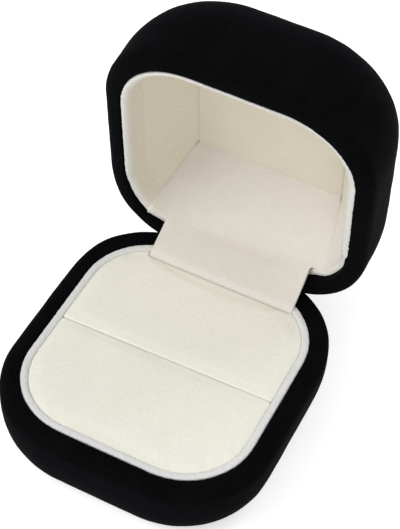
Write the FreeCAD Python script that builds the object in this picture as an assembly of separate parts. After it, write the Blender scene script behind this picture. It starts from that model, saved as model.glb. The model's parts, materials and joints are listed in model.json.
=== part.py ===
import FreeCAD, Part
import os
from math import atan2, cos, hypot, radians, sin, sqrt, tan

# Velvet ring box, standing open. Millimetres, +Z up, the lid's hinge at the rear, along X.
# Origin: middle of the sole's underside.
# Depths are counted from a rim: downwards in the base, upwards in the shut lid.

# Mouth and wall, the same in base and lid
mouth_half_width = 25.0
mouth_half_depth = 26.6
mouth_corner = 15.0
wall = 4.2
velvet = 0.6
rim_round = 2.8
rear_crest = 1.0
edge_corner_share = 0.5
section_count = 7

# Base
base_height = 15.9
base_upright = 1.5
base_edge_run = 4.5
base_floor = 2.0
sole_stand = 0.4
sole_margin = 2.0
sole_gap = 0.2

# Lid, and the angle at which it stands open
lid_height = 26.6
lid_upright = 5.4
lid_edge_run = 13.4
lid_top = 2.0
parting_gap = 0.3
open_angle = 82.0

# White collar in the base
collar = 1.5
collar_height = 6.5
collar_drop = 0.3
collar_round_share = 0.4
collar_under = 1.6

# Pads on their board
board = 2.0
board_gap = 0.25
pad_gap = 0.25
pad_cover = 0.6
pad_crown_drop = 0.1
pad_edge_drop = 1.7
pad_crown_run = 5.0
slot_place = -0.8
slot_width = 0.8
slot_corner = 1.5
crown_angles = (0, 20, 42, 66, 90)

# Lid lining: lip at the mouth and tapered panels up to the ceiling
lip = 1.3
lip_drop = 0.4
lip_height = 5.0
lining = 0.8
lining_drop = 1.2
side_taper = 6.8
end_taper = 8.3
ceiling_corner = 2.5
ceiling_foam = 4.6
back_lining_drop = 2.9
back_trim_run = 6.8
back_seam_angle = 49.0
foam_margin = 0.3

# Metal hinge
hinge_width = 19.6
hinge_drop = 1.9
knuckle_count = 5
knuckle_gap = 0.15
pin_radius = 0.55
running_gap = 0.05
leaf = 0.5
leaf_length = 7.0
lid_leaf_start = 1.0
hinge_room = 0.2
swing_room = 0.4
spring = 0.3
spring_lean = 0.35
spring_foot_share = 0.55
rivet_radius = 0.55
rivet_head = 1.0
rivet_length = 2.2
rivet_place_share = 0.62
rivet_depth_share = 0.5

# Cloth flap over the hinge
flap = 0.6
flap_room = 4.4
flap_side = 8.4
flap_gap = 0.2
flap_bend = 0.8
flap_lift = 0.8
flap_tuck = 5.0

overrun = 1.0

# Places that follow from the sizes above
outer_half_width = mouth_half_width + wall
outer_half_depth = mouth_half_depth + wall
outer_corner = mouth_corner + wall
lid_rim = base_height + parting_gap
shell_inset = wall - velvet
base_depth = base_height - sole_stand
base_edge_rise = base_depth - rim_round - base_upright
lid_edge_rise = lid_height - rim_round - lid_upright
pad_rear = mouth_half_depth - flap_room
flap_half_width = mouth_half_width - flap_side
ceiling_depth = lid_height - velvet - lid_top - ceiling_foam - lining
ceiling_half_width = mouth_half_width - lip - side_taper
ceiling_half_depth = mouth_half_depth - lip - end_taper
leaf_seat = outer_half_depth - shell_inset
hinge_y = leaf_seat + pin_radius + running_gap
hinge_z = base_height - hinge_drop
knuckle_radius = pin_radius + running_gap + leaf
hinge_half = hinge_width / 2
X_AXIS = FreeCAD.Vector(1, 0, 0)
Y_AXIS = FreeCAD.Vector(0, 1, 0)
Z_AXIS = FreeCAD.Vector(0, 0, 1)


def base_z(depth):
    return base_height - depth


def lid_z(depth):
    return lid_rim + depth


def rounded(x0, x1, y0, y1, front, rear, z):
    """Closed outline of a rectangle with one radius at its front and one at its rear corners."""
    diag = 1 - cos(radians(45))
    corners = (
        (x0, y0, 1, 1, front),
        (x1, y0, -1, 1, front),
        (x1, y1, -1, -1, rear),
        (x0, y1, 1, -1, rear),
    )
    arcs = []
    for i, (x, y, sx, sy, r) in enumerate(corners):
        on_x = FreeCAD.Vector(x, y + sy * r, z)
        middle = FreeCAD.Vector(x + sx * r * diag, y + sy * r * diag, z)
        on_y = FreeCAD.Vector(x + sx * r, y, z)
        ends = (on_x, on_y) if i % 2 == 0 else (on_y, on_x)
        arcs.append((ends[0], middle, ends[1]))
    edges = []
    for i, (start, middle, end) in enumerate(arcs):
        edges.append(Part.Arc(start, middle, end).toShape())
        edges.append(Part.LineSegment(end, arcs[(i + 1) % len(arcs)][0]).toShape())
    return Part.Wire(edges)


def outline(inset, softened, z):
    """The box's plan outline, set in from its outer face; softened is the share of a rounded edge."""
    corner = outer_corner - inset + (1 - edge_corner_share) * softened
    half_width = outer_half_width - inset
    half_depth = outer_half_depth - inset
    return rounded(-half_width, half_width, -half_depth, half_depth, corner, corner, z)


def loft(wires):
    return Part.makeLoft(wires, True, False)


def prism(inset, z0, z1, softened=0):
    face = Part.Face(outline(inset, softened, z0))
    return face.extrude(FreeCAD.Vector(0, 0, z1 - z0))


def block(x0, x1, y0, y1, z0, z1):
    return Part.makeBox(x1 - x0, y1 - y0, z1 - z0, FreeCAD.Vector(x0, y0, z0))


def quarter(count):
    return [radians(90) * i / (count - 1) for i in range(count)]


def tray_form(to_z, inset, rim_depth, rim_radius, bottom, run, rise):
    """Solid form of a tray: rolled rim, upright wall and a soft edge that runs in to the bottom."""
    wall_start = rim_depth + rim_radius
    wall_end = bottom - rise
    zones = []
    if rim_radius:
        rim = []
        for a in quarter(section_count):
            in_by = inset + rim_radius * (1 - sin(a))
            rim.append(outline(in_by, 0, to_z(rim_depth + rim_radius * (1 - cos(a)))))
        zones.append(rim)
    zones.append([outline(inset, 0, to_z(wall_start)), outline(inset, 0, to_z(wall_end))])
    edge = []
    for a in quarter(section_count):
        in_by = run * (1 - cos(a))
        edge.append(outline(inset + in_by, in_by, to_z(wall_end + rise * sin(a))))
    zones.append(edge)
    solids = [loft(zone) for zone in zones]
    return solids[0].multiFuse(solids[1:]).removeSplitter()


def rear_wedge(to_z, inset):
    """What a bevel takes off the rear rim, so that the open lid can lean back; inset deepens it."""
    reach = wall - rear_crest + inset * sqrt(2)
    rear = outer_half_depth + overrun
    profile = [(rear - reach - 2 * overrun, -overrun), (rear, -overrun), (rear, reach + overrun)]
    points = [FreeCAD.Vector(-outer_half_width, y, to_z(depth)) for y, depth in profile]
    face = Part.Face(Part.makePolygon(points + points[:1]))
    return face.extrude(X_AXIS * (2 * outer_half_width))


def shell_and_velvet(to_z, depth, run, rise, floor):
    """The moulded core of a half box, and the velvet drawn over it and turned in at its mouth."""
    turn_in = depth - velvet - rise
    skin_form = tray_form(to_z, 0, 0, rim_round, depth, run, rise).cut(rear_wedge(to_z, 0))
    core_form = tray_form(to_z, velvet, velvet, rim_round - velvet, depth - velvet, run, rise)
    core_form = core_form.cut(rear_wedge(to_z, velvet))
    hollow = tray_form(to_z, shell_inset, 0, 0, depth - velvet - floor, run - floor, rise - floor)
    flare = []
    for a in quarter(section_count):
        flare.append(outline(wall - velvet * (1 - sin(a)), 0, to_z(velvet * (1 - cos(a)))))
    mouth = loft(flare)
    tuck = prism(shell_inset, to_z(velvet), to_z(turn_in)).cut(prism(wall, to_z(velvet), to_z(turn_in)))
    skin = skin_form.cut(core_form).cut(mouth).fuse(tuck).removeSplitter()
    return core_form.cut(hollow), skin


def rear_notch(z0, z1, y1):
    """Room in the rear wall for the hinge, from inside the mouth back to y1."""
    half = hinge_half + hinge_room
    return block(-half, half, mouth_half_depth - overrun, y1, z0, z1)


def ring(outer_inset, inner_inset, z0, z1):
    return prism(outer_inset, z0, z1).cut(prism(inner_inset, z0, z1))


# Pads


def front_pad_outline(inset, z):
    half = pad_half_width - inset
    front = -pad_half_depth + inset
    back = slot_place - slot_width / 2 - inset
    return rounded(-half, half, front, back, pad_corner - inset, slot_corner, z)


def rear_pad_outline(inset, z):
    """Like the collar's outline behind the slot, cut straight across in front of the flap."""
    half = pad_half_width - inset
    front = slot_place + slot_width / 2 + inset
    back = pad_rear - inset
    cx = pad_half_width - pad_corner
    cy = pad_half_depth - pad_corner
    r = pad_corner - inset
    reach = sqrt(r * r - (back - cy) ** 2)
    half_turn = atan2(back - cy, reach) / 2
    lead = slot_corner * (1 - cos(radians(45)))

    def at(x, y):
        return FreeCAD.Vector(x, y, z)

    right = [
        Part.Arc(at(half - slot_corner, front), at(half - lead, front + lead), at(half, front + slot_corner)),
        Part.LineSegment(at(half, front + slot_corner), at(half, cy)),
        Part.Arc(at(half, cy), at(cx + r * cos(half_turn), cy + r * sin(half_turn)), at(cx + reach, back)),
    ]
    rear = Part.LineSegment(at(cx + reach, back), at(-cx - reach, back))
    turn = cx + r * cos(half_turn)
    left = [
        Part.Arc(at(-cx - reach, back), at(-turn, cy + r * sin(half_turn)), at(-half, cy)),
        Part.LineSegment(at(-half, cy), at(-half, front + slot_corner)),
        Part.Arc(at(-half, front + slot_corner), at(lead - half, front + lead), at(slot_corner - half, front)),
    ]
    slot_side = Part.LineSegment(at(slot_corner - half, front), at(half - slot_corner, front))
    return Part.Wire([edge.toShape() for edge in right + [rear] + left + [slot_side]])


def pad_form(pad_outline, inset):
    """Upright sides and a crowned top."""
    crown_rise = pad_edge_drop - pad_crown_drop
    sides = [pad_outline(inset, base_z(pad_foot)), pad_outline(inset, base_z(pad_edge_drop + inset))]
    crown = []
    for a in crown_angles:
        in_by = inset + pad_crown_run * (1 - cos(radians(a)))
        crown.append(pad_outline(in_by, base_z(pad_edge_drop + inset - crown_rise * sin(radians(a)))))
    return loft(sides).fuse(loft(crown)).removeSplitter()


def pad_pieces(pad_outline):
    foam = pad_form(pad_outline, pad_cover)
    return foam, pad_form(pad_outline, 0).cut(foam)


# Hinge


def knuckle_span(i):
    pitch = hinge_width / knuckle_count
    start = -hinge_half + i * pitch
    return start + knuckle_gap / 2, start + pitch - knuckle_gap / 2


def knuckles_of(first):
    return [knuckle_span(i) for i in range(first, knuckle_count, 2)]


def hinge_leaf(spans, z_near, z_far):
    """Flat leaf on the shell's rear wall, with fingers curled round the pin."""
    leaf_front = leaf_seat - leaf
    solid = block(-hinge_half, hinge_half, leaf_front, leaf_seat, min(z_near, z_far), max(z_near, z_far))
    bore = pin_radius + running_gap
    for x0, x1 in spans:
        finger = block(x0, x1, leaf_front, leaf_seat, min(hinge_z, z_near), max(hinge_z, z_near))
        curl = Part.makeCylinder(knuckle_radius, x1 - x0, FreeCAD.Vector(x0, hinge_y, hinge_z), X_AXIS)
        solid = solid.fuse(finger).fuse(curl)
    for x0, x1 in spans:
        hole = Part.makeCylinder(bore, x1 - x0, FreeCAD.Vector(x0, hinge_y, hinge_z), X_AXIS)
        solid = solid.cut(hole)
    return solid.removeSplitter()


def rivet_form(x, z, front, radius, head):
    seat = FreeCAD.Vector(x, front, z)
    shank = Part.makeCylinder(radius, rivet_length, seat, Y_AXIS)
    return shank.fuse(Part.makeCone(head, radius, leaf, seat, Y_AXIS)).removeSplitter()


def rivet_pair(z, front, spare):
    """Two countersunk rivets; spare is added all round for the holes that take them."""
    place = hinge_half * rivet_place_share
    return [rivet_form(x, z, front, rivet_radius + spare, rivet_head + spare) for x in (-place, place)]


def sheet_profile(points_front, points_back, x0, x1):
    """Strip of cloth along X: its front side given as line and arc ends, its back side likewise."""
    edges = []
    for side in (points_front, points_back):
        (start, bend, middle, after, end) = side
        edges.append(Part.LineSegment(start, bend).toShape())
        edges.append(Part.Arc(bend, middle, after).toShape())
        edges.append(Part.LineSegment(after, end).toShape())
    edges.append(Part.LineSegment(points_front[0], points_back[0]).toShape())
    edges.append(Part.LineSegment(points_front[-1], points_back[-1]).toShape())
    face = Part.Face(Part.Wire(Part.__sortEdges__(edges)))
    return face.extrude(FreeCAD.Vector(x1 - x0, 0, 0))


def opened(shape):
    """A lid piece, turned from shut to the open stop."""
    turned = shape.copy()
    turned.rotate(FreeCAD.Vector(0, hinge_y, hinge_z), X_AXIS, -open_angle)
    return turned


def opened_point(y, z):
    a = radians(open_angle)
    dy = y - hinge_y
    dz = z - hinge_z
    return hinge_y + dy * cos(a) + dz * sin(a), hinge_z - dy * sin(a) + dz * cos(a)


parts = {}

# Base shell, velvet and sole
base_shell, base_velvet = shell_and_velvet(base_z, base_depth, base_edge_run, base_edge_rise, base_floor)
sole_inset = base_edge_run + sole_margin
sole_span = (base_z(base_height), base_z(base_depth - velvet))
base_velvet = base_velvet.cut(prism(sole_inset, *sole_span, base_edge_run))
parts["base_sole"] = prism(sole_inset + sole_gap, *sole_span, base_edge_run)

# Room for the knuckles, for the lid's fingers swung back, and a flat seat for the leaf
knuckle_room = rear_notch(hinge_z - knuckle_radius - hinge_room, base_height + overrun,
                          hinge_y + knuckle_radius + hinge_room)
finger_low = hinge_z + (pin_radius + running_gap) * sin(radians(open_angle))
finger_room = rear_notch(finger_low - swing_room, base_height + overrun, outer_half_depth + overrun)
base_leaf_near = hinge_z - knuckle_radius
base_leaf_far = base_leaf_near - leaf_length
leaf_room = rear_notch(base_leaf_far - hinge_room, base_height, leaf_seat)
base_shell = base_shell.cut(knuckle_room).cut(finger_room).cut(leaf_room)
base_velvet = base_velvet.cut(knuckle_room).cut(finger_room).cut(leaf_room)

# White collar: a strip that stands round the mouth and stops behind the flap at the rear
collar_inset = wall + collar
strip = ring(wall, collar_inset, base_z(collar_drop + collar_height), base_z(collar_drop))
top_edges = [e for e in strip.Edges if abs(e.BoundBox.ZMin - base_z(collar_drop)) < collar_drop / 2]
strip = strip.makeFillet(collar * collar_round_share, top_edges)
opening_half = flap_half_width - collar_under
opening = block(-opening_half, opening_half, 0, outer_half_depth, 0, base_height)
parts["base_collar"] = strip.cut(opening)

# Pad board on the shell's floor, and the two pads that stand on it
floor_depth = base_depth - velvet - base_floor
pad_foot = floor_depth - board
floor_run = base_edge_run - base_floor
board_inset = shell_inset + floor_run + board_gap
parts["pad_board"] = prism(board_inset, base_z(floor_depth), base_z(pad_foot), floor_run)
pad_inset = collar_inset + pad_gap
pad_half_width = outer_half_width - pad_inset
pad_half_depth = outer_half_depth - pad_inset
pad_corner = outer_corner - pad_inset
parts["front_pad_foam"], parts["front_pad_cover"] = pad_pieces(front_pad_outline)
parts["rear_pad_foam"], parts["rear_pad_cover"] = pad_pieces(rear_pad_outline)

# Hinge, riveted to both shells, with a two-pronged blade that bears on the lid's knuckles
leaf_front = leaf_seat - leaf
spring_front = leaf_front - spring
base_rivet_z = base_leaf_near - leaf_length * rivet_depth_share
base_leaf = hinge_leaf(knuckles_of(0), base_leaf_near, base_leaf_far)
pin_start = FreeCAD.Vector(-hinge_half, hinge_y, hinge_z)
parts["hinge_pin"] = Part.makeCylinder(pin_radius, hinge_width, pin_start, X_AXIS)
for hole in rivet_pair(base_rivet_z, leaf_front, running_gap):
    base_leaf = base_leaf.cut(hole)
    base_shell = base_shell.cut(hole)
parts["base_hinge_leaf"] = base_leaf
parts["base_hinge_rivets"] = Part.Compound(rivet_pair(base_rivet_z, leaf_front, 0))
parts["base_shell"] = base_shell
parts["base_velvet"] = base_velvet

prongs = knuckles_of(1)
foot_top = base_leaf_far + leaf_length * spring_foot_share
blade_half = hinge_half * rivet_place_share - rivet_head - hinge_room
blade = block(-blade_half, blade_half, spring_front, leaf_front, base_leaf_far, foot_top)
for x0, x1 in prongs:
    section = [
        (leaf_front, base_leaf_far),
        (leaf_front, foot_top),
        (leaf_front - spring_lean, hinge_z),
        (spring_front - spring_lean, hinge_z),
        (spring_front, foot_top),
        (spring_front, base_leaf_far),
    ]
    inner = min(abs(x0), abs(x1))
    x_low, x_high = (inner, blade_half) if x0 > 0 else (-blade_half, -inner)
    points = [FreeCAD.Vector(x_low, y, z) for y, z in section]
    face = Part.Face(Part.makePolygon(points + points[:1]))
    blade = blade.fuse(face.extrude(FreeCAD.Vector(x_high - x_low, 0, 0)))
parts["hinge_spring"] = blade.removeSplitter()

# Lid, modelled shut
lid_shell, lid_velvet = shell_and_velvet(lid_z, lid_height, lid_edge_run, lid_edge_rise, lid_top)
lid_leaf_near = lid_z(lid_leaf_start)
lid_leaf_far = lid_leaf_near + leaf_length
lid_rivet_z = lid_leaf_near + leaf_length * rivet_depth_share
lid_leaf = hinge_leaf(knuckles_of(1), lid_leaf_near, lid_leaf_far)
lid_leaf_room = rear_notch(lid_rim - overrun, lid_leaf_far + hinge_room, leaf_seat)
lid_shell = lid_shell.cut(lid_leaf_room)
lid_velvet = lid_velvet.cut(lid_leaf_room)
for hole in rivet_pair(lid_rivet_z, leaf_front, running_gap):
    lid_leaf = lid_leaf.cut(hole)
    lid_shell = lid_shell.cut(hole)
lid = {"lid_shell": lid_shell, "lid_velvet": lid_velvet, "lid_hinge_leaf": lid_leaf}
lid["lid_hinge_rivets"] = Part.Compound(rivet_pair(lid_rivet_z, leaf_front, 0))

# Lip and tapered lining; at the rear both stop short of the hinge
rear_trim = block(-outer_half_width, outer_half_width, mouth_half_depth - back_trim_run, outer_half_depth,
                  lid_rim - overrun, lid_z(back_lining_drop))
lip_inset = wall + lip
lid["lid_collar"] = ring(wall, lip_inset, lid_z(lip_drop), lid_z(lip_drop + lip_height)).cut(rear_trim)


def lining_form(inset):
    """Tapered form from the lip to the ceiling; inset counts from the lining's outer side."""
    out = lining - inset
    w = ceiling_half_width + out
    d = ceiling_half_depth + out
    r = ceiling_corner + out
    top = rounded(-w, w, -d, d, r, r, lid_z(ceiling_depth))
    return loft([outline(lip_inset + inset, 0, lid_z(lining_drop)), top])


tube = lining_form(0).cut(lining_form(lining)).cut(rear_trim)
seam_x = mouth_half_width - mouth_corner
seam_y = mouth_half_depth - mouth_corner
seam_end = seam_x + (outer_half_depth - seam_y) * tan(radians(back_seam_angle))
corners = [(-seam_x, seam_y), (seam_x, seam_y), (seam_end, outer_half_depth), (-seam_end, outer_half_depth)]
wedge_points = [FreeCAD.Vector(x, y, lid_rim) for x, y in corners]
wedge_face = Part.Face(Part.makePolygon(wedge_points + wedge_points[:1]))
wedge = wedge_face.extrude(FreeCAD.Vector(0, 0, lid_height))
lid["lid_wall_lining"] = tube.cut(wedge)
lid["lid_back_lining"] = tube.common(wedge)
w = ceiling_half_width + lining
d = ceiling_half_depth + lining
r = ceiling_corner + lining
ceiling_face = Part.Face(rounded(-w, w, -d, d, r, r, lid_z(ceiling_depth)))
lid["lid_ceiling_lining"] = ceiling_face.extrude(FreeCAD.Vector(0, 0, lining))
foam_depth = ceiling_depth + lining
roof_run = lid_edge_run - lid_top
foam_span = (lid_z(foam_depth), lid_z(foam_depth + ceiling_foam))
lid["lid_ceiling_foam"] = prism(shell_inset + roof_run + foam_margin, *foam_span, roof_run)
for name, shape in lid.items():
    parts[name] = opened(shape)

# Flap: tucked in behind the rear pad, bent back over the rim and joined to the back lining's edge
taper = (mouth_half_depth - lip - ceiling_half_depth - lining) / (ceiling_depth - lining_drop)
panel_back = mouth_half_depth - lip - taper * (back_lining_drop - lining_drop)
end_y, end_z = opened_point(panel_back - lining / 2, lid_z(back_lining_drop) - flap_gap)
flap_y = pad_rear + flap_gap
bend_y = flap_y + flap + flap_bend
bend_z = base_z(pad_edge_drop) + flap_lift
middle_radius = flap_bend + flap / 2
run = sqrt(hypot(end_y - bend_y, end_z - bend_z) ** 2 - middle_radius ** 2)
slope = atan2(end_z - bend_z, end_y - bend_y) - atan2(middle_radius, run)


def flap_side(radius):
    start_angle = radians(180)
    end_angle = radians(90) + slope

    def on_bend(a):
        return FreeCAD.Vector(-flap_half_width, bend_y + radius * cos(a), bend_z + radius * sin(a))

    foot = on_bend(start_angle) - Z_AXIS * flap_tuck
    after = on_bend(end_angle)
    end = after + FreeCAD.Vector(0, run * cos(slope), run * sin(slope))
    return foot, on_bend(start_angle), on_bend((start_angle + end_angle) / 2), after, end


parts["hinge_flap"] = sheet_profile(flap_side(flap_bend + flap), flap_side(flap_bend),
                                    -flap_half_width, flap_half_width)

os.makedirs("parts", exist_ok=True)
for name, shape in parts.items():
    shape.exportStep(os.path.join("parts", name + ".step"))
print("hinge axis y %.3f z %.3f, open angle %.1f" % (hinge_y, hinge_z, open_angle))
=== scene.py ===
import json
from math import atan2, cos, radians, sin

import bmesh
import bpy
from mathutils import Matrix, Vector


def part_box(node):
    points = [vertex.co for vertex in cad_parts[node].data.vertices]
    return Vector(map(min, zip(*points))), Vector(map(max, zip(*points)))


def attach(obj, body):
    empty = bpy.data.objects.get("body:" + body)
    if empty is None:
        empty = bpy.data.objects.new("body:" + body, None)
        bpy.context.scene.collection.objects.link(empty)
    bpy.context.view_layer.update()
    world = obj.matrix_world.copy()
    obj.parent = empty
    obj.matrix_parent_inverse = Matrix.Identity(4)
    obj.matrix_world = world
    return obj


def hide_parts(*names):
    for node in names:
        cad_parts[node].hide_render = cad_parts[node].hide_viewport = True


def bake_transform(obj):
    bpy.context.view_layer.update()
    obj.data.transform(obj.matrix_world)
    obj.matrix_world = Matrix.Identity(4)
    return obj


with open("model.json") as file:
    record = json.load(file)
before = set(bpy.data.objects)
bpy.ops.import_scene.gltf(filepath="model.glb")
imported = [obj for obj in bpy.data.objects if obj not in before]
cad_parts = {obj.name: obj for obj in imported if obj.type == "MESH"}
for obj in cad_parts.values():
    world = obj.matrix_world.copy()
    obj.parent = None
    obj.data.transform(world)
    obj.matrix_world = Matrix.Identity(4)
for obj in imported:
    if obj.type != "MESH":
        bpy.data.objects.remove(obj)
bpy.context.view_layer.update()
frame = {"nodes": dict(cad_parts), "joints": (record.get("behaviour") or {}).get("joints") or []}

# Moulded shells: two thin black plastic trays, one for the base and one for the lid.
# Everything else is glued or riveted to them, so they hardly show once the box is covered.
shell_black = (0.016, 0.016, 0.018, 1)
shell_dark = (0.012, 0.012, 0.014, 1)
shell_light = (0.022, 0.022, 0.025, 1)
shell_grain = 4000
shell_grain_depth = 0.00003


def new_material(name, colour, roughness):
    """A material whose shader has a plain colour and roughness, with its node tree to add to."""
    material = bpy.data.materials.new(name)
    material.use_nodes = True
    shader = material.node_tree.nodes["Principled BSDF"]
    shader.inputs["Base Color"].default_value = colour
    shader.inputs["Roughness"].default_value = roughness
    return material, material.node_tree.nodes, material.node_tree.links, shader


def noise(nodes, links, scale, detail=2.0, stretch=(1, 1, 1)):
    """Noise on the piece's own coordinates, in features per metre."""
    place = nodes.new("ShaderNodeTexCoord")
    mapping = nodes.new("ShaderNodeMapping")
    mapping.inputs["Scale"].default_value = stretch
    texture = nodes.new("ShaderNodeTexNoise")
    texture.inputs["Scale"].default_value = scale
    texture.inputs["Detail"].default_value = detail
    links.new(place.outputs["Object"], mapping.inputs["Vector"])
    links.new(mapping.outputs["Vector"], texture.inputs["Vector"])
    return texture.outputs["Fac"]


def ramp(nodes, links, value, low_colour, high_colour, low=0.35, high=0.7):
    """Two colours, spread between two levels of a pattern."""
    colours = nodes.new("ShaderNodeValToRGB")
    first, last = colours.color_ramp.elements
    first.position, last.position = low, high
    first.color, last.color = low_colour, high_colour
    links.new(value, colours.inputs["Fac"])
    return colours.outputs["Color"]


def bump(nodes, links, shader, height, depth, strength=1.0):
    """Raises the surface by a pattern, as deep as the real grain or pile."""
    relief = nodes.new("ShaderNodeBump")
    relief.inputs["Strength"].default_value = strength
    relief.inputs["Distance"].default_value = depth
    links.new(height, relief.inputs["Height"])
    links.new(relief.outputs["Normal"], shader.inputs["Normal"])


def dress(node, material):
    """Puts a material on a CAD node."""
    materials = frame["nodes"][node].data.materials
    materials.clear()
    materials.append(material)


plastic, nodes, links, shader = new_material("black_moulding", shell_black, roughness=0.5)
grain = noise(nodes, links, shell_grain, detail=3)
links.new(ramp(nodes, links, grain, shell_dark, shell_light), shader.inputs["Base Color"])
bump(nodes, links, shader, grain, shell_grain_depth, strength=0.5)
for node in ("base_shell", "lid_shell"):
    dress(node, plastic)

# Metal hinge: two nickel-plated leaves curled round a pin and held by countersunk rivets,
# with a blued spring blade that snaps the lid open or shut. It lies hidden under the cloth flap.
nickel_dull = (0.46, 0.44, 0.40, 1)
nickel_bright = (0.66, 0.64, 0.59, 1)
spring_blue = (0.20, 0.21, 0.24, 1)
spring_grey = (0.36, 0.36, 0.38, 1)
rolling_lines = 900
rolling_depth = 0.00002


def plated(name, dull, bright, roughness, stretch):
    """Metal strip with the fine lines that rolling leaves."""
    material, nodes, links, shader = new_material(name, bright, roughness)
    shader.inputs["Metallic"].default_value = 1.0
    lines = noise(nodes, links, rolling_lines, detail=3, stretch=stretch)
    links.new(ramp(nodes, links, lines, dull, bright, low=0.3), shader.inputs["Base Color"])
    bump(nodes, links, shader, lines, rolling_depth, strength=0.6)
    return material


nickel = plated("nickel_plate", nickel_dull, nickel_bright, roughness=0.28, stretch=(0.15, 3, 3))
blued = plated("blued_spring", spring_blue, spring_grey, roughness=0.35, stretch=(3, 3, 0.15))
rivet_plate = plated("rivet_plate", nickel_dull, nickel_bright, roughness=0.22, stretch=(1, 1, 1))
for node in ("base_hinge_leaf", "lid_hinge_leaf", "hinge_pin"):
    dress(node, nickel)
dress("hinge_spring", blued)
for node in ("base_hinge_rivets", "lid_hinge_rivets"):
    dress(node, rivet_plate)

# Base velvet: black pile cloth drawn over the base shell, rolled over its rim and turned in
# at the mouth, with its lower edge glued under the felt sole. The rear rim is pressed to a bevel.
velvet_low, velvet_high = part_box("base_velvet")
outer_half_width = velvet_high.x
outer_half_depth = velvet_high.y
outer_corner = 0.0192
wall = 0.0042
velvet = 0.0006
rim_round = 0.0028
rim_steps = 10
turn_in_steps = 4
rear_press = 0.0004
square_from = 0.0130
square_to = 0.0230
base_square = 0.35
crest_swell = 0.00003
rim_z = velvet_high.z
base_depth = rim_z - velvet_low.z
base_upright = 0.0015
base_edge_run = 0.0045
base_edge_steps = 14
sole_inset = 0.0064
softening_share = 0.5
hinge_half = 0.0100
hinge_y, hinge_z = frame["joints"][0]["pos_m"][1:]
hinge_room = 0.0013
finger_room = 0.0002
leaf_seat = outer_half_depth - wall + velvet
parting_gap = 0.0003
open_angle = radians(frame["joints"][0]["range_deg"][1])
velvet_skin = 0.0005
velvet_unevenness = 0.00016
velvet_lump = 0.004
velvet_pile = 3200
pile_roughness = 0.95
pile_gloss = 0.02
pile_depth = 0.00012
sheen_spread = 0.45
patch_scale = 160
patch_share = 0.35
velvet_dark = (0.0009, 0.0010, 0.0012, 1)
velvet_light = (0.0044, 0.0047, 0.0052, 1)
velvet_sheen = (0.50, 0.56, 0.70, 1)


def start_mesh(name):
    """An empty mesh object, open for editing."""
    bpy.ops.object.select_all(action="DESELECT")
    bpy.ops.mesh.primitive_plane_add()
    piece = bpy.context.object
    piece.name = piece.data.name = name
    bpy.ops.object.mode_set(mode="EDIT")
    bpy.ops.mesh.delete(type="VERT")
    return piece


def pick(piece, test, kind="FACE"):
    """Selects the vertices, edges or faces that pass a test, and nothing else."""
    bpy.ops.mesh.select_mode(type=kind)
    bpy.ops.mesh.select_all(action="DESELECT")
    mesh = bmesh.from_edit_mesh(piece.data)
    parts = {"VERT": mesh.verts, "EDGE": mesh.edges, "FACE": mesh.faces}[kind]
    for part in parts:
        part.select_set(test(part))
    mesh.select_flush_mode()
    bmesh.update_edit_mesh(piece.data)


def add_loop(piece, number, half_width, half_depth, corner, z, corner_steps, side_steps):
    """A flat rectangle with rounded corners, left as a bare loop of edges and numbered."""
    bpy.ops.mesh.select_mode(type="VERT")
    bpy.ops.mesh.select_all(action="DESELECT")
    bpy.ops.mesh.primitive_plane_add(size=2, location=(0, 0, z))
    bpy.ops.transform.resize(value=(half_width, half_depth, 1), center_override=(0, 0, z))
    bpy.ops.mesh.bevel(affect="VERTICES", offset=corner, segments=corner_steps)
    bpy.ops.mesh.delete(type="ONLY_FACE")
    mesh = bmesh.from_edit_mesh(piece.data)
    label = mesh.verts.layers.int.get("loop") or mesh.verts.layers.int.new("loop")
    straight = (half_width - corner, half_depth - corner)
    bpy.ops.mesh.select_mode(type="EDGE")
    mesh = bmesh.from_edit_mesh(piece.data)
    for edge in mesh.edges:
        fresh = all(v[label] == 0 for v in edge.verts)
        edge.select_set(fresh and edge.calc_length() > min(straight))
    bmesh.update_edit_mesh(piece.data)
    bpy.ops.mesh.subdivide(number_cuts=side_steps - 1)
    mesh = bmesh.from_edit_mesh(piece.data)
    label = mesh.verts.layers.int.get("loop")
    for v in mesh.verts:
        if v[label] == 0:
            v[label] = number
    bmesh.update_edit_mesh(piece.data)


def bridge(piece, first, second):
    """Faces between two numbered loops."""
    mesh = bmesh.from_edit_mesh(piece.data)
    label = mesh.verts.layers.int.get("loop")
    pick(piece, lambda e: all(v[label] in (first, second) for v in e.verts)
         and e.verts[0][label] == e.verts[1][label], "EDGE")
    bpy.ops.mesh.bridge_edge_loops()


def lofted(name, runs, closed=False, corner_steps=12, side_steps=10):
    """A skin through a row of rounded outlines, each (half width, half depth, corner, z)."""
    piece = start_mesh(name)
    for number, run in enumerate(runs, start=1):
        add_loop(piece, number, *run, corner_steps, side_steps)
        if number > 1:
            bridge(piece, number - 1, number)
    if closed:
        bridge(piece, len(runs), 1)
    return piece


def turn_faces(inside=False):
    """Makes the faces of the open mesh look outwards, or into the hollow that they line."""
    bpy.ops.mesh.select_all(action="SELECT")
    bpy.ops.mesh.normals_make_consistent(inside=inside)


def apply(piece, kind, **settings):
    """Adds a modifier and applies it at once."""
    modifier = piece.modifiers.new(kind.lower(), kind)
    for key, value in settings.items():
        setattr(modifier, key, value)
    bpy.ops.object.modifier_apply(modifier=modifier.name)


def refine(piece, levels):
    """Rounds a coarse mesh by subdividing it."""
    apply(piece, "SUBSURF", levels=levels, render_levels=levels)


def roughen(piece, texture, strength, mid_level=0.5):
    """Lets an uneven field raise and sink the surface."""
    apply(piece, "DISPLACE", texture=texture, texture_coords="LOCAL", strength=strength,
          mid_level=mid_level)


def between(value, low, high):
    """How far a value lies from low to high, kept from 0 to 1."""
    return min(1, max(0, (value - low) / (high - low)))


def outline(inset, softened, z):
    """The box's plan outline, set in from its outer face; a softened edge has rounder corners."""
    corner = outer_corner - inset + softening_share * softened
    return outer_half_width - inset, outer_half_depth - inset, corner, z


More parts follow.
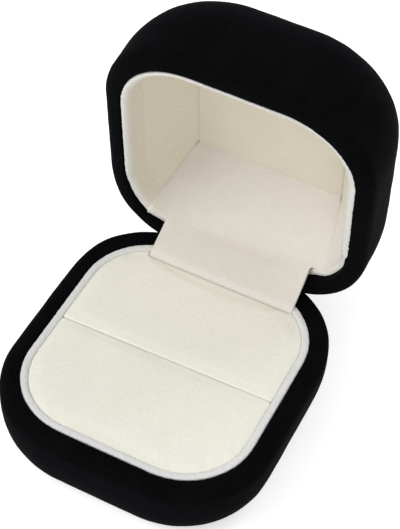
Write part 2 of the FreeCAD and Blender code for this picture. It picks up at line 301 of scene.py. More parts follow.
def rim_runs(to_z, turn_in):
    """Runs over the rolled rim, from the outer wall to the turned-in edge inside the mouth."""
    runs = []
    for i in range(rim_steps, -1, -1):
        a = radians(90) * i / rim_steps
        runs.append(outline(rim_round * (1 - sin(a)), 0, to_z(rim_round * (1 - cos(a)))))
    shelf = wall - velvet
    runs.append(outline((rim_round + shelf) / 2, 0, to_z(-crest_swell)))
    for i in range(turn_in_steps + 1):
        a = radians(90) * i / turn_in_steps
        runs.append(outline(shelf + velvet * sin(a), 0, to_z(velvet * (1 - cos(a)))))
    runs.append(outline(wall, 0, to_z(turn_in)))
    return runs


def edge_runs(to_z, depth, run, rise, steps):
    """Runs down the soft edge between the wall and the flat underside or top."""
    runs = []
    for i in range(steps, -1, -1):
        a = radians(90) * i / steps
        in_by = run * (1 - cos(a))
        runs.append(outline(in_by, in_by, to_z(depth - rise + rise * sin(a))))
    return runs


def square_rear(piece, to_z, first, last, share):
    """Draws the rear rim tighter: behind the box's middle its round shrinks to a share."""
    mesh = bmesh.from_edit_mesh(piece.data)
    label = mesh.verts.layers.int.get("loop")
    for v in mesh.verts:
        if not first <= v[label] <= last or v.co.y < square_from:
            continue
        reach = between(v.co.y, square_from, square_to)
        pull = (1 - share) * reach * reach * (3 - 2 * reach)
        across = max(0, abs(v.co.x) - (outer_half_width - outer_corner))
        along = max(0, v.co.y - (outer_half_depth - outer_corner))
        out = Vector((across if v.co.x > 0 else -across, along, 0)).normalized()
        inset = outer_corner - Vector((across, along, 0)).length
        v.co += out * inset * pull
        v.co.z += (to_z(0) - v.co.z) * pull
    bmesh.update_edit_mesh(piece.data)


def press_rear(piece, round_centre, normal):
    """Flattens the rear rim where lid and base lean together; the normal points out of the cloth."""
    normal = normal.normalized()
    along = Vector((1, 0, 0))
    edge = round_centre + normal * (rim_round - rear_press)
    pick(piece, lambda v: v.co.y > 0 and (v.co - edge).dot(normal) > 0, "VERT")
    turn = Matrix((along, normal, along.cross(normal))).transposed()
    bpy.ops.transform.resize(value=(1, 0, 1), orient_type="GLOBAL", orient_matrix=turn,
                             orient_matrix_type="GLOBAL", center_override=edge)


def notch(piece, half_width, plane_at, plane_normal, inside):
    """Cuts a notch in the rear of an open skin, beyond a plane and where the test inside holds."""
    def near_notch(face):
        centre = face.calc_center_median()
        return centre.y > outer_half_depth / 2 and inside(centre)

    def taken(face):
        centre = face.calc_center_median()
        beyond = (centre - Vector(plane_at)).dot(Vector(plane_normal)) > 0
        return near_notch(face) and beyond and abs(centre.x) < half_width

    sideways = (1, 0, 0)
    cuts = (((-half_width, 0, 0), sideways), ((half_width, 0, 0), sideways), (plane_at, plane_normal))
    for at, normal in cuts:
        pick(piece, near_notch)
        bpy.ops.mesh.bisect(plane_co=at, plane_no=normal)
    pick(piece, taken)
    bpy.ops.mesh.delete(type="FACE")


def clouds(name, size, depth=2):
    """Uneven field for displacing a surface, its lumps this large."""
    texture = bpy.data.textures.new(name, "CLOUDS")
    texture.noise_scale = size
    texture.noise_depth = depth
    return texture


def pile_cloth(name, low_colour, high_colour, sheen_tint, pile, sheen):
    """Short dense pile: fine fibre ends, soft brushed patches and a sheen at grazing angles."""
    material, nodes, links, shader = new_material(name, high_colour, pile_roughness)
    shader.inputs["Specular IOR Level"].default_value = pile_gloss
    shader.inputs["Sheen Weight"].default_value = sheen
    shader.inputs["Sheen Roughness"].default_value = sheen_spread
    shader.inputs["Sheen Tint"].default_value = sheen_tint
    fibre = noise(nodes, links, pile, detail=4)
    patch = noise(nodes, links, patch_scale)
    both = nodes.new("ShaderNodeMath")
    both.operation = "ADD"
    share = nodes.new("ShaderNodeMath")
    share.operation = "MULTIPLY"
    share.inputs[1].default_value = patch_share
    links.new(patch, share.inputs[0])
    links.new(fibre, both.inputs[0])
    links.new(share.outputs[0], both.inputs[1])
    tone = ramp(nodes, links, both.outputs[0], low_colour, high_colour, low=0.42, high=0.95)
    links.new(tone, shader.inputs["Base Color"])
    bump(nodes, links, shader, fibre, pile_depth, strength=0.5)
    return material


black_velvet = pile_cloth("black_velvet", velvet_dark, velvet_light, velvet_sheen, velvet_pile, sheen=0.013)
velvet_lumps = clouds("velvet_lumps", velvet_lump)


def base_z(depth):
    """Height of a point this far below the base's rim."""
    return rim_z - depth


def wrap(piece, node):
    """Gives a velvet skin its thickness and its slight unevenness, and puts it in a node's place."""
    bpy.ops.object.mode_set(mode="OBJECT")
    refine(piece, 1)
    roughen(piece, velvet_lumps, velvet_unevenness)
    apply(piece, "SOLIDIFY", thickness=velvet_skin, offset=-1)
    bpy.ops.object.shade_smooth_by_angle(angle=radians(50))
    piece.data.materials.append(black_velvet)
    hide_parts(node)


base_edge_rise = base_depth - rim_round - base_upright
wall_end = base_depth - base_edge_rise
runs = [outline(sole_inset, base_edge_run, base_z(base_depth))]
runs += edge_runs(base_z, base_depth, base_edge_run, base_edge_rise, base_edge_steps)
runs += [outline(0, 0, base_z((wall_end + rim_round) / 2))]
rim_start = len(runs) + 1
runs += rim_runs(base_z, wall_end - velvet)
base_velvet = lofted("base_velvet_cover", runs)
square_rear(base_velvet, base_z, rim_start, rim_start + rim_steps, base_square)
round_y = outer_half_depth - rim_round


def opened(point):
    """Where a point of the shut lid comes to when the lid stands open."""
    y, z = point.y - hinge_y, point.z - hinge_z
    return Vector((point.x, hinge_y + y * cos(open_angle) + z * sin(open_angle),
                   hinge_z - y * sin(open_angle) + z * cos(open_angle)))


base_round = Vector((0, round_y, base_z(rim_round)))
lid_round = Vector((0, round_y, rim_z + parting_gap + rim_round))
lean = (opened(lid_round) - base_round).normalized()
press_rear(base_velvet, base_round, lean)
notch(base_velvet, hinge_half, (0, 0, hinge_z + finger_room), (0, 0, 1), lambda at: at.y > leaf_seat)
notch(base_velvet, hinge_half, (0, 0, hinge_z - hinge_room), (0, 0, 1), lambda at: at.y <= leaf_seat)
turn_faces()
wrap(base_velvet, "base_velvet")
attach(base_velvet, "base")

# Sole: a thin rounded piece of pressed black felt, glued under the base over the velvet's lower edge.
# The box stands on it.
sole_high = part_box("base_sole")[1]
sole_edge = 0.00025
cap_span = 22
felt_fuzz = 1800
felt_fuzz_depth = 0.00015
felt_dark = (0.006, 0.006, 0.007, 1)
felt_light = (0.020, 0.020, 0.022, 1)
sole_in = outer_half_width - sole_high.x


def cap(piece, number):
    """Closes a numbered loop with a grid of faces."""
    label = bmesh.from_edit_mesh(piece.data).verts.layers.int.get("loop")
    pick(piece, lambda e: all(v[label] == number for v in e.verts), "EDGE")
    bpy.ops.mesh.fill_grid(span=cap_span)


runs = [outline(sole_in + sole_edge, base_edge_run, 0), outline(sole_in, base_edge_run, sole_edge),
        outline(sole_in, base_edge_run, sole_high.z)]
sole = lofted("felt_sole", runs)
cap(sole, 1)
cap(sole, len(runs))
turn_faces()
bpy.ops.object.mode_set(mode="OBJECT")
bpy.ops.object.shade_smooth_by_angle(angle=radians(35))
felt, nodes, links, shader = new_material("pressed_felt", felt_light, roughness=1.0)
fuzz = noise(nodes, links, felt_fuzz, detail=6)
links.new(ramp(nodes, links, fuzz, felt_dark, felt_light), shader.inputs["Base Color"])
bump(nodes, links, shader, fuzz, felt_fuzz_depth, strength=0.7)
sole.data.materials.append(felt)
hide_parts("base_sole")
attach(sole, "base")

# Pad board: a piece of grey pulp board, cut to the shell's floor and laid on it.
# Both pads stand on it.
board_grey = (0.32, 0.31, 0.29, 1)
board_dark = (0.24, 0.23, 0.21, 1)
board_light = (0.40, 0.39, 0.36, 1)
board_fleck = 1500
board_fleck_depth = 0.00005
board, nodes, links, shader = new_material("grey_board", board_grey, roughness=0.9)
fleck = noise(nodes, links, board_fleck, detail=5)
tone = ramp(nodes, links, fleck, board_dark, board_light, low=0.3, high=0.75)
links.new(tone, shader.inputs["Base Color"])
bump(nodes, links, shader, fleck, board_fleck_depth, strength=0.5)
dress("pad_board", board)

# White collar: a strip of card covered in white velveteen that stands round the inside of the
# mouth, its soft top edge level with the rim. Its ends stop under the cloth flap at the rear.
collar_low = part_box("base_collar")[0]
collar = 0.0015
collar_foot = rim_z - collar_low.z
collar_half_opening = 0.0150
collar_fuzz = 0.00022
fuzz_lump = 0.0005
velveteen_pile = 2600
# Points across the strip's top: the share of its width, and millimetres below the rim.
collar_section = ((0.00, 1.2), (0.02, 0.50), (0.07, 0.20), (0.18, 0.06), (0.42, 0.0), (0.72, 0.02),
                  (0.92, 0.10), (1.03, 0.28), (1.09, 0.52), (1.10, 1.3))
collar_shade = (0.65, 0.655, 0.645, 1)
collar_white = (0.78, 0.785, 0.775, 1)
white_sheen = (1.0, 1.0, 1.0, 1)
collar_pile = pile_cloth("white_velveteen", collar_shade, collar_white, white_sheen, velveteen_pile,
                         sheen=0.15)
fuzzy_edge = clouds("fuzzy_edge", fuzz_lump, depth=3)


def open_rear(piece, half_opening, from_y):
    """Cuts a gap in the rear of a closed strip and closes its two ends."""
    for side in (-1, 1):
        pick(piece, lambda f: f.calc_center_median().y > from_y)
        bpy.ops.mesh.bisect(plane_co=(side * half_opening, 0, 0), plane_no=(1, 0, 0))
    pick(piece, lambda f: f.calc_center_median().y > from_y
         and abs(f.calc_center_median().x) < half_opening)
    bpy.ops.mesh.delete(type="FACE")
    for side in (-1, 1):
        pick(piece, lambda e: e.is_boundary and e.verts[0].co.x * side > 0, "EDGE")
        bpy.ops.mesh.edge_face_add()


runs = [outline(wall, 0, base_z(collar_foot))]
runs += [outline(wall + collar * across, 0, base_z(down / 1000)) for across, down in collar_section]
runs += [outline(wall + collar, 0, base_z(collar_foot - crest_swell))]
white_collar = lofted("white_collar", runs, closed=True, corner_steps=24, side_steps=20)
open_rear(white_collar, collar_half_opening, outer_half_depth / 2)
turn_faces()
bpy.ops.object.mode_set(mode="OBJECT")
refine(white_collar, 2)
roughen(white_collar, fuzzy_edge, collar_fuzz)
bpy.ops.object.shade_smooth_by_angle(angle=radians(60))
white_collar.data.materials.append(collar_pile)
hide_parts("base_collar")
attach(white_collar, "base")

# Pads: two foam blocks covered in ivory velveteen, standing side by side on the board.
# The line where they press together is the ring slot.
pad_gap = 0.00002
pad_inset = wall + collar + pad_gap
pad_top_drop = 0.00015
pad_edge_round = 0.0003
pad_swell = 0.0002
slot_half = 0.00003
slot_corner = 0.0003
slot_hold = 0.0012
slot_slant = 0.0207
ear_left = -0.0159
ear_right = 0.0175
pad_grain = 0.0004
pad_fuzz = 0.00005
pad_corner_steps = 16
pad_edge_steps = 6
pad_pressure = 2.0
puff_scale = 10
puff_frames = 20
tolerance = 1e-6
slot_y = (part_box("front_pad_cover")[1].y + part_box("rear_pad_cover")[0].y) / 2
ivory_shade = (0.805, 0.79, 0.70, 1)
ivory = (0.885, 0.87, 0.78, 1)
ivory_pile = pile_cloth("ivory_velveteen", ivory_shade, ivory, white_sheen, velveteen_pile, sheen=0.12)
pad_width, pad_depth, pad_corner, _ = outline(pad_inset, 0, 0)


def puff(piece, pressure, limit, held):
    """Blows a closed cover up like a cushion, many times enlarged, with some vertices held."""
    start = [v.co.copy() for v in piece.data.vertices]
    group = piece.vertex_groups.new(name="held")
    group.add([v.index for v in piece.data.vertices if held(v.co)], 1.0, "REPLACE")
    piece.data.transform(Matrix.Scale(puff_scale, 4))
    cloth = piece.modifiers.new("cloth", "CLOTH")
    cloth.settings.use_pressure = True
    cloth.settings.uniform_pressure_force = pressure
    cloth.settings.vertex_group_mass = group.name
    cloth.settings.effector_weights.gravity = 0
    cloth.point_cache.frame_start = 1
    cloth.point_cache.frame_end = puff_frames
    for number in range(1, puff_frames + 1):
        bpy.context.scene.frame_set(number)
    bpy.ops.object.modifier_apply(modifier=cloth.name)
    bpy.context.scene.frame_set(1)
    piece.data.transform(Matrix.Scale(1 / puff_scale, 4))
    for vertex, place in zip(piece.data.vertices, start):
        move = vertex.co - place
        if move.length > limit:
            vertex.co = place + move * (limit / move.length)
    piece.vertex_groups.clear()


def pad(name, cover_node, foam_node, slot_sign):
    """One pad; slot_sign is 1 for the front pad, whose slot side faces the rear, else -1."""
    low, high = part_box(cover_node)
    far = -pad_depth * slot_sign
    near = slot_y - slot_half * slot_sign
    piece = start_mesh(name)
    middle = Vector((0, (far + near) / 2, low.z))
    bpy.ops.mesh.primitive_plane_add(size=2, location=middle)
    bpy.ops.transform.resize(value=(pad_width, abs(near - far) / 2, 1), center_override=middle)
    pick(piece, lambda v: (v.co.y - middle.y) * slot_sign < 0, "VERT")
    bpy.ops.mesh.bevel(affect="VERTICES", offset=pad_corner, segments=pad_corner_steps)
    for side in (-1, 1):
        pick(piece, lambda v: v.co.x * side > 0 and abs(v.co.y - near) < tolerance, "VERT")
        bpy.ops.transform.translate(value=(0, side * pad_width * slot_slant, 0))
        bpy.ops.mesh.bevel(affect="VERTICES", offset=slot_corner, segments=pad_edge_steps)
    if slot_sign < 0:
        sideways = (1, 0, 0)
        cuts = (((ear_left, 0, 0), sideways), ((ear_right, 0, 0), sideways), ((0, high.y, 0), (0, 1, 0)))
        for at, normal in cuts:
            bpy.ops.mesh.select_all(action="SELECT")
            bpy.ops.mesh.bisect(plane_co=at, plane_no=normal)
        pick(piece, lambda f: f.calc_center_median().y > high.y
             and ear_left < f.calc_center_median().x < ear_right)
        bpy.ops.mesh.delete(type="FACE")
    bpy.ops.mesh.select_all(action="SELECT")
    top_z = rim_z - pad_top_drop
    bpy.ops.mesh.extrude_region_move(TRANSFORM_OT_translate={"value": (0, 0, top_z - low.z)})
    pick(piece, lambda e: all(abs(v.co.z - top_z) < tolerance for v in e.verts), "EDGE")
    bpy.ops.mesh.bevel(offset=pad_edge_round, segments=pad_edge_steps, affect="EDGES")
    turn_faces()
    bpy.ops.object.mode_set(mode="OBJECT")
    piece.data.remesh_voxel_size = pad_grain
    bpy.ops.object.voxel_remesh()
    apply(piece, "SMOOTH", factor=0.5, iterations=2)
    puff(piece, pad_pressure, pad_swell, lambda at: at.z < top_z - pad_edge_round
         or abs(at.y - slot_y - at.x * slot_slant) < slot_hold)
    apply(piece, "SMOOTH", factor=0.5, iterations=4)
    refine(piece, 1)
    roughen(piece, fuzzy_edge, pad_fuzz)
    bpy.ops.object.shade_smooth()
    piece.data.materials.append(ivory_pile)
    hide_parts(cover_node, foam_node)
    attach(piece, "base")


pad("front_pad", "front_pad_cover", "front_pad_foam", 1)
pad("rear_pad", "rear_pad_cover", "rear_pad_foam", -1)

# Lid velvet: the same black pile cloth over the domed lid shell, rolled over its rim. It is
# shaped with the lid shut, then turned about the hinge to where the lid stands open.
lid_height = 0.0266
lid_upright = 0.0054
lid_edge_run = 0.0134
lid_edge_steps = 18
lid_square = 0.6
lid_rim = rim_z + parting_gap
lid_edge_rise = lid_height - rim_round - lid_upright
lid_wall_end = lid_height - lid_edge_rise
hinge = Vector((0, hinge_y, hinge_z))
lid_leaf_far = 0.0082


def lid_z(depth):
    """Height of a point this deep in the shut lid."""
    return lid_rim + depth


def swing_open(piece):
    """Turns a piece that was modelled on the shut lid to the open stop."""
    bpy.ops.object.mode_set(mode="EDIT")
    bpy.ops.mesh.select_all(action="SELECT")
    bpy.ops.transform.rotate(value=open_angle, orient_axis="X", center_override=hinge)
    bpy.ops.object.mode_set(mode="OBJECT")


runs = edge_runs(lid_z, lid_height, lid_edge_run, lid_edge_rise, lid_edge_steps)
runs += [outline(0, 0, lid_z(rim_round + (lid_wall_end - rim_round) * i / 3)) for i in (2, 1)]
rim_start = len(runs) + 1
runs += rim_runs(lid_z, lid_wall_end - velvet)
lid_velvet = lofted("lid_velvet_cover", runs)
square_rear(lid_velvet, lid_z, rim_start, rim_start + rim_steps, lid_square)
cap(lid_velvet, 1)
lid_lean = Vector((0, -lean.y * cos(open_angle) + lean.z * sin(open_angle),
                   -lean.y * sin(open_angle) - lean.z * cos(open_angle)))
press_rear(lid_velvet, lid_round, lid_lean)
notch(lid_velvet, hinge_half, (0, leaf_seat, 0), (0, -1, 0), lambda at: at.z < lid_z(lid_leaf_far))
turn_faces()
wrap(lid_velvet, "lid_velvet")
swing_open(lid_velvet)
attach(lid_velvet, "lid")

# Lid lining: cream velveteen on card, formed as a tapered tray. A strip lines the front and the
# sides. It is white at the mouth, where the white lip's own pile runs; on the right a pale band that
# reaches far into the lid is painted light, standing for the light that falls on the right wall.
# The rear side is left to the cloth that comes up from the base.
lip = 0.0013
lining_drop = 0.0012
side_taper = 0.0068
end_taper = 0.0083
ceiling_corner = 0.0010
taper_power = 1.5
ceiling_depth = 0.0186
crease_depth = 0.0005
lining = 0.0005
lining_steps = 9
lining_fuzz = 0.00006
sag_left = 0.00075
sag_right = 0.00225
sag_from, sag_to = 0.0095, 0.0145
end_dip = 0.0007
end_from, end_to = 0.0222, 0.0240
dip_reach = 0.0090
cream_shade = (0.705, 0.66, 0.55, 1)
cream = (0.78, 0.735, 0.62, 1)
lip_shade = (0.66, 0.64, 0.61, 1)
lip_white = (0.75, 0.73, 0.70, 1)
front_fade = (0.0004, 0.0012)
left_fade = (0.0008, 0.0036)
# On the right the white reaches far into the lid: painted light, standing for the light that falls on the
# right wall.
right_painted_light_fade = (0.0080, 0.0220)
lip_inset = wall + lip
fading_pile = pile_cloth("fading_velveteen", lip_shade, lip_white, white_sheen, velveteen_pile, sheen=0.2)
nodes, links = fading_pile.node_tree.nodes, fading_pile.node_tree.links
shader = nodes["Principled BSDF"]
white_tone = shader.inputs["Base Color"].links[0].from_socket
cream_fibre = noise(nodes, links, velveteen_pile, detail=4)
cream_tone = ramp(nodes, links, cream_fibre, cream_shade, cream)
towards_mouth = nodes.new("ShaderNodeAttribute")
towards_mouth.attribute_name = "white_and_painted_light"
fading = nodes.new("ShaderNodeMixRGB")
links.new(towards_mouth.outputs["Fac"], fading.inputs["Fac"])
links.new(cream_tone, fading.inputs["Color1"])
links.new(white_tone, fading.inputs["Color2"])
links.new(fading.outputs["Color"], shader.inputs["Base Color"])


def front_share(at):
    """1 at the middle of the front, 0 at the sides and the rear."""
    return cos(atan2(at.x / outer_half_width, max(0, -at.y / outer_half_depth))) ** 2


def whiten_and_paint_light(piece, ways):
    """Fades the pile from the lip's white to cream; on the right the white reaches deep as painted light.
    Ways are the runs' distances from the lip's outer edge.
    """
    mesh = bmesh.from_edit_mesh(piece.data)
    label = mesh.verts.layers.int.get("loop")
    white_and_painted_light = mesh.verts.layers.float.new("white_and_painted_light")
    for v in mesh.verts:
        share = front_share(v.co)
        side_fade = right_painted_light_fade if v.co.x > 0 else left_fade
        fade_from, fade_to = (side + (front - side) * share for side, front in zip(side_fade, front_fade))
        v[white_and_painted_light] = between(ways[v[label] - 1], fade_to, fade_from)
    bmesh.update_edit_mesh(piece.data)


def lining_run(depth):
    """Outline of the tapered tray at a depth in the lid."""
    t = max(0, (depth - lining_drop) / (ceiling_depth - lining_drop)) ** taper_power
    half_width, half_depth, corner, z = outline(lip_inset, 0, lid_z(depth))
    return (half_width - side_taper * t, half_depth - end_taper * t,
            corner + (ceiling_corner - corner) * t, z)


lining_length = ceiling_depth + crease_depth - lining_drop
depths = [lining_drop + lining_length * i / lining_steps for i in range(lining_steps + 1)]
wall_lining = lofted("lid_wall_lining_cloth", [lining_run(d) for d in depths], corner_steps=24)


def dip_rear(piece):
    """Lowers the mouth edge at the rear corners: a long sag, then a short dip where the flap passes."""
    mesh = bmesh.from_edit_mesh(piece.data)
    for v in mesh.verts:
        rightness = between(v.co.x, -outer_half_width / 2, outer_half_width / 2)
        sag = sag_left + (sag_right - sag_left) * rightness
        dip = sag * between(v.co.y, sag_from, sag_to) + end_dip * between(v.co.y, end_from, end_to)
        v.co.z += dip * max(0, 1 - (v.co.z - lid_rim) / dip_reach)
    bmesh.update_edit_mesh(piece.data)


def at_rear(face):
    """True for the tray's rear side, up to the middle of its corners."""
    return face.calc_center_median().y > 0 and abs(face.normal.y) > abs(face.normal.x)


pick(wall_lining, at_rear)
bpy.ops.mesh.separate(type="SELECTED")
# White near the mouth from the lip's own pile; deep on the right side the white is painted light.
whiten_and_paint_light(wall_lining, [lip + depth for depth in depths])
dip_rear(wall_lining)
turn_faces(inside=True)
bpy.ops.object.mode_set(mode="OBJECT")
back_panel = [o for o in bpy.context.selected_objects if o != wall_lining][0]
back_panel.select_set(False)
refine(wall_lining, 2)
apply(wall_lining, "SOLIDIFY", thickness=lining, offset=-1)
roughen(wall_lining, fuzzy_edge, lining_fuzz)
bpy.ops.object.shade_smooth_by_angle(angle=radians(50))
wall_lining.data.materials.append(fading_pile)
swing_open(wall_lining)
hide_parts("lid_wall_lining")
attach(wall_lining, "lid")

# Lid ceiling: a panel of the same cream velveteen on card, with a sheet of foam behind it,
# pushed down into the tray so that its edges meet the strip in a crease.
panel_tuck = 0.0003
cream_pile = pile_cloth("cream_velveteen", cream_shade, cream, white_sheen, velveteen_pile, sheen=0.12)
# Points over the panel's edge, in millimetres: in from the edge, and out of the tray's floor.
panel_roll = ((0.0, -0.55), (0.20, -0.20), (0.35, 0.0), (0.55, 0.16), (0.80, 0.25), (4.0, 0.45))
half_width, half_depth, corner, _ = lining_run(ceiling_depth)
runs = []
for across, rise in panel_roll:
    in_by = across / 1000 - panel_tuck
    runs.append((half_width - in_by, half_depth - in_by, corner, lid_z(ceiling_depth - rise / 1000)))
ceiling = lofted("lid_ceiling_panel", runs)
cap(ceiling, len(runs))
turn_faces(inside=True)
bpy.ops.object.mode_set(mode="OBJECT")
refine(ceiling, 2)
apply(ceiling, "SOLIDIFY", thickness=lining, offset=-1)
bpy.ops.object.shade_smooth_by_angle(angle=radians(50))
ceiling.data.materials.append(cream_pile)
swing_open(ceiling)
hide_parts("lid_ceiling_lining", "lid_ceiling_foam")
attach(ceiling, "lid")

# White lip: a soft roll of white velveteen round the mouth of the lid, glued over the upper edge
# of the lining. It ends on each side of the cloth flap, which comes through between its ends.
lip_overlap = 0.00005
lip_shift = 0.00047
lip_widening = 0.011
lip_foot = 0.0050
# Points over the roll: the share of its width, and millimetres into the lid.
lip_section = ((0.00, 1.0), (0.02, 0.35), (0.08, 0.08), (0.20, -0.04), (0.40, -0.08), (0.62, -0.03),
               (0.84, 0.14), (1.02, 0.42))
# Points down its inner side, in millimetres: into the lid, and proud of the lining.
lip_inner = ((0.9, 0.22), (1.6, 0.28), (2.6, 0.25), (3.8, 0.18), (5.0, 0.07), (6.4, -0.10))
lip_half_opening = 0.0160
lip_front_narrowing = 0.45
lip_fuzz = 0.00025
lip_fuzz_middle = 0.45
outer_inset = wall - lip_overlap
runs = [outline(outer_inset, 0, lid_z(lip_foot))]
runs += [outline(outer_inset + lip * across, 0, lid_z(down / 1000)) for across, down in lip_section]
lip_crest = len(runs)
for down, proud in lip_inner:
    half_width, half_depth, corner, z = lining_run(down / 1000)
    runs.append((half_width - proud / 1000, half_depth - proud / 1000, corner - proud / 1000, z))
white_lip = lofted("white_lip", runs, closed=True, corner_steps=24, side_steps=20)
section_ways = [lip * across for across, _ in lip_section]
ways = [0] + section_ways + [lip + down / 1000 for down, _ in lip_inner]
# On the right the lip's inner side stays white deep into the lid: painted light.
whiten_and_paint_light(white_lip, ways)
mesh = bmesh.from_edit_mesh(white_lip.data)
label = mesh.verts.layers.int.get("loop")
for v in mesh.verts:
    if v[label] <= lip_crest:
        v.co.y -= lip_front_narrowing * ways[v[label] - 1] * front_share(v.co)
    outerness = between(v[label], len(runs), lip_crest)
    v.co.x += outerness * (lip_shift + lip_widening * v.co.x)
bmesh.update_edit_mesh(white_lip.data)
open_rear(white_lip, lip_half_opening, outer_half_depth / 2)
dip_rear(white_lip)
turn_faces()
bpy.ops.object.mode_set(mode="OBJECT")
refine(white_lip, 2)
roughen(white_lip, fuzzy_edge, lip_fuzz, lip_fuzz_middle)
bpy.ops.object.shade_smooth_by_angle(angle=radians(60))
white_lip.data.materials.append(fading_pile)
swing_open(white_lip)
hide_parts("lid_collar")
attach(white_lip, "lid")

# Hinge cloth: one piece of cream velveteen that lines the rear of the lid and comes down over
# the metal hinge as a flap, its lower edge tucked in between the rear pad and the base's wall.
# In the lid its left corner is drawn over the lip, and its right one is tucked under it.
flap_low, flap_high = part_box("hinge_flap")
flap_half = flap_high.x
flap_thick = 0.0005
flap_bend = 0.0018
flap_bend_drop = 0.0016
flap_lean = radians(12)
flap_drift = 0.0005
flap_shift = 0.00035
panel_tuck_under = 0.0008
panel_tuck_width = 0.0012
panel_tuck_reach = 0.0040
seam_overlap = 0.0005
corner_lift = 0.00045
corner_lift_reach = 0.0060
# Steps over the lip, in millimetres: towards the rear, and into the lid.
corner_roll = ((0.15, -0.60), (0.45, -0.38), (0.60, -0.08), (0.45, 0.30), (0.10, 0.80))
flap_steps = 8
bend_steps = 4
foot_steps = 4
edge_straightening = 0.8
upright = 1e-4
panel_hollow_deep = 2.6
panel_hollow_mouth = 3.4
pad_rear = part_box("rear_pad_cover")[1].y
cloth_shade = (0.69, 0.653, 0.60, 1)
cloth_cream = (0.765, 0.728, 0.672, 1)
flap_pile = pile_cloth("flap_velveteen", cloth_shade, cloth_cream, white_sheen, velveteen_pile, sheen=0.12)
hinge_cloth = back_panel
hinge_cloth.name = hinge_cloth.data.name = "hinge_cloth"
bpy.ops.object.select_all(action="DESELECT")
hinge_cloth.select_set(True)
bpy.context.view_layer.objects.active = hinge_cloth
bpy.ops.object.mode_set(mode="EDIT")
for side in (-1, 1):
    bpy.ops.mesh.select_all(action="SELECT")
    bpy.ops.mesh.bisect(plane_co=(flap_shift + side * flap_half, 0, 0), plane_no=(1, 0, 0))
mesh = bmesh.from_edit_mesh(hinge_cloth.data)
for v in mesh.verts:
    half_width, half_depth, corner, _ = lining_run(v.co.z - lid_rim)
    seam_in = corner * (1 - cos(radians(45)))
    t = (v.co.z - lid_z(lining_drop)) / (ceiling_depth - lining_drop)
    hollow = panel_hollow_mouth + (panel_hollow_deep - panel_hollow_mouth) * t
    v.co.y = half_depth - seam_in * (abs(v.co.x) / (half_width - seam_in)) ** hollow
    if v.co.x > 0:
        beside = between(v.co.x - flap_shift, flap_half, flap_half + panel_tuck_width)
        fade = max(0, 1 - (v.co.z - lid_z(lining_drop)) / panel_tuck_reach)
        v.co.y += panel_tuck_under * beside * fade
    else:
        beside = between(-v.co.x, flap_half, half_width - seam_in)
        fade = max(0, 1 - (v.co.z - lid_rim) / corner_lift_reach)
        v.co.y -= corner_lift * beside * fade
bmesh.update_edit_mesh(hinge_cloth.data)
for side in (-1, 1):
    pick(hinge_cloth, lambda e: e.is_boundary and e.verts[0].co.x * side > flap_half
         and abs(e.verts[0].co.z - e.verts[1].co.z) > upright, "EDGE")
    beneath = (side * seam_overlap, seam_overlap / 2, 0)
    bpy.ops.mesh.extrude_edges_move(TRANSFORM_OT_translate={"value": beneath})
pick(hinge_cloth, lambda e: all(abs(v.co.z - lid_z(lining_drop)) < tolerance
     and v.co.x < flap_shift - flap_half + tolerance for v in e.verts), "EDGE")
for rearwards, deeper in corner_roll:
    step = (0, rearwards / 1000, deeper / 1000)
    bpy.ops.mesh.extrude_edges_move(TRANSFORM_OT_translate={"value": step})
mesh = bmesh.from_edit_mesh(hinge_cloth.data)
mouth_edge = [e.index for e in mesh.edges if all(abs(v.co.z - lid_z(lining_drop)) < tolerance
              and abs(v.co.x - flap_shift) < flap_half + tolerance for v in e.verts)]
dip_rear(hinge_cloth)
swing_open(hinge_cloth)
bpy.ops.object.mode_set(mode="EDIT")
pick(hinge_cloth, lambda e: e.index in mouth_edge, "EDGE")
picked = [v.co.copy() for v in bmesh.from_edit_mesh(hinge_cloth.data).verts if v.select]
start = sum(picked, Vector()) / len(picked)
start.x = 0
foot = Vector((0, pad_rear + flap_thick, flap_low.z))
bend_centre = Vector((0, pad_rear + flap_thick + flap_bend, rim_z - flap_bend_drop))


def bend_point(angle):
    """A point of the bend where the flap goes down behind the pad."""
    return bend_centre + Vector((0, -flap_bend * sin(angle), flap_bend * cos(angle)))


bend_turn = radians(90) - flap_lean
path = [start.lerp(bend_point(flap_lean), i / flap_steps) for i in range(1, flap_steps + 1)]
path += [bend_point(flap_lean + bend_turn * i / bend_steps) for i in range(1, bend_steps + 1)]
path += [path[-1].lerp(foot, i / foot_steps) for i in range(1, foot_steps + 1)]
here = start
for i, point in enumerate(path):
    point.x = flap_drift * min(1, (i + 1) / flap_steps)
    bpy.ops.mesh.extrude_edges_move(TRANSFORM_OT_translate={"value": point - here})
    bpy.ops.transform.resize(value=(1, edge_straightening, edge_straightening), center_override=point)
    here = point
turn_faces(inside=True)
bpy.ops.object.mode_set(mode="OBJECT")
refine(hinge_cloth, 2)
apply(hinge_cloth, "SOLIDIFY", thickness=flap_thick, offset=-1)
bpy.ops.object.shade_smooth_by_angle(angle=radians(50))
hinge_cloth.data.materials.append(flap_pile)
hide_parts("hinge_flap", "lid_back_lining")
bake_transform(hinge_cloth)

# Floor: a plain sheet of white paper that the box stands on, laid flat and far wider than the view.
# It glows a little where the camera or a reflection sees it, and keeps the box's soft shadow.
floor_half = 1.5
paper_white = (0.86, 0.86, 0.86, 1)
paper_glow = 0.5
bpy.ops.object.select_all(action="DESELECT")
bpy.ops.mesh.primitive_plane_add(size=2 * floor_half)
floor = bpy.context.object
floor.name = "floor"
paper, nodes, links, shader = new_material("white_paper", paper_white, roughness=0.9)
shader.inputs["Specular IOR Level"].default_value = 0.0
seen = nodes.new("ShaderNodeLightPath")
glow = nodes.new("ShaderNodeEmission")
glow.inputs["Strength"].default_value = paper_glow
none = nodes.new("ShaderNodeEmission")
none.inputs["Strength"].default_value = 0.0
both = nodes.new("ShaderNodeMath")
both.operation = "MAXIMUM"
either = nodes.new("ShaderNodeMixShader")
total = nodes.new("ShaderNodeAddShader")
links.new(seen.outputs["Is Camera Ray"], both.inputs[0])
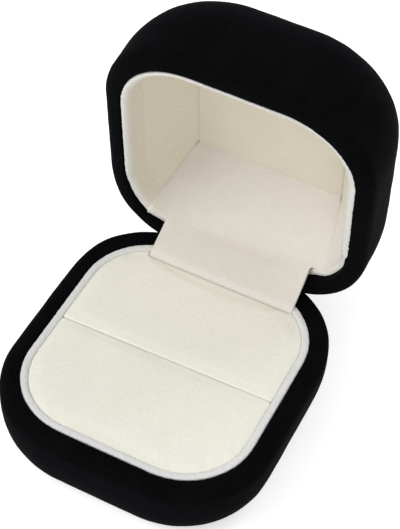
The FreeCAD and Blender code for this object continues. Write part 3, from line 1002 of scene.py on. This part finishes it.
links.new(seen.outputs["Is Glossy Ray"], both.inputs[1])
links.new(both.outputs[0], either.inputs["Fac"])
links.new(none.outputs[0], either.inputs[1])
links.new(glow.outputs[0], either.inputs[2])
links.new(shader.outputs[0], total.inputs[0])
links.new(either.outputs[0], total.inputs[1])
links.new(total.outputs[0], nodes["Material Output"].inputs["Surface"])
floor.data.materials.append(paper)

# Studio: a white room with three square soft lamps. The strongest stands high on the left in front,
# a weak one on the right in front, and one on the right behind.
room_white = (1, 1, 1, 1)
room_light = 0.62
lamp_aim = (0, 0.015, 0.02)
lamp_size = 0.5
world = bpy.data.worlds.new("white_room")
bpy.context.scene.world = world
world.use_nodes = True
nodes, links = world.node_tree.nodes, world.node_tree.links
fill = nodes["Background"]
fill.inputs["Color"].default_value = room_white
fill.inputs["Strength"].default_value = room_light
white = nodes.new("ShaderNodeBackground")
white.inputs["Color"].default_value = room_white
seen = nodes.new("ShaderNodeLightPath")
room = nodes.new("ShaderNodeMixShader")
links.new(seen.outputs["Is Camera Ray"], room.inputs["Fac"])
links.new(fill.outputs[0], room.inputs[1])
links.new(white.outputs[0], room.inputs[2])
links.new(room.outputs[0], nodes["World Output"].inputs["Surface"])


def lamp(name, place, watts):
    """A soft lamp turned towards the box."""
    data = bpy.data.lights.new(name, "AREA")
    data.size = lamp_size
    data.energy = watts
    light = bpy.data.objects.new(name, data)
    bpy.context.scene.collection.objects.link(light)
    light.location = place
    light.rotation_euler = (Vector(place) - Vector(lamp_aim)).to_track_quat("Z", "Y").to_euler()


lamp("key", place=(-0.50, -0.42, 0.64), watts=3.3)
lamp("front", place=(0.25, -0.7, 0.35), watts=1.2)
lamp("rear", place=(0.35, 0.75, 0.5), watts=1.8)

# Camera: stands above the box and to the right of its front, at the photograph's viewing angle.
# It has a long lens and is tilted a little to one side.
camera_azimuth = radians(22.67)
camera_elevation = radians(48.52)
camera_roll = radians(5.03)
camera_distance = 0.33751
camera_aim = Vector((-0.00500, 0.02496, rim_z))
focal_pixels = 1593
frame_height = 529
sensor = 36.0
nearest_seen = 0.01
level = cos(camera_elevation)
back = Vector((sin(camera_azimuth) * level, -cos(camera_azimuth) * level, sin(camera_elevation)))
across = Vector((cos(camera_azimuth), sin(camera_azimuth), 0))
upward = back.cross(across)
right = across * cos(camera_roll) + upward * sin(camera_roll)
up = upward * cos(camera_roll) - across * sin(camera_roll)
camera_data = bpy.data.cameras.new("camera")
camera_data.sensor_width = sensor
camera_data.lens = focal_pixels * sensor / frame_height
camera_data.clip_start = nearest_seen
camera = bpy.data.objects.new("camera", camera_data)
bpy.context.scene.collection.objects.link(camera)
turn = Matrix((right, up, back)).transposed().to_4x4()
camera.matrix_world = Matrix.Translation(camera_aim + back * camera_distance) @ turn
bpy.context.scene.camera = camera
bpy.context.scene.view_settings.view_transform = "Standard"
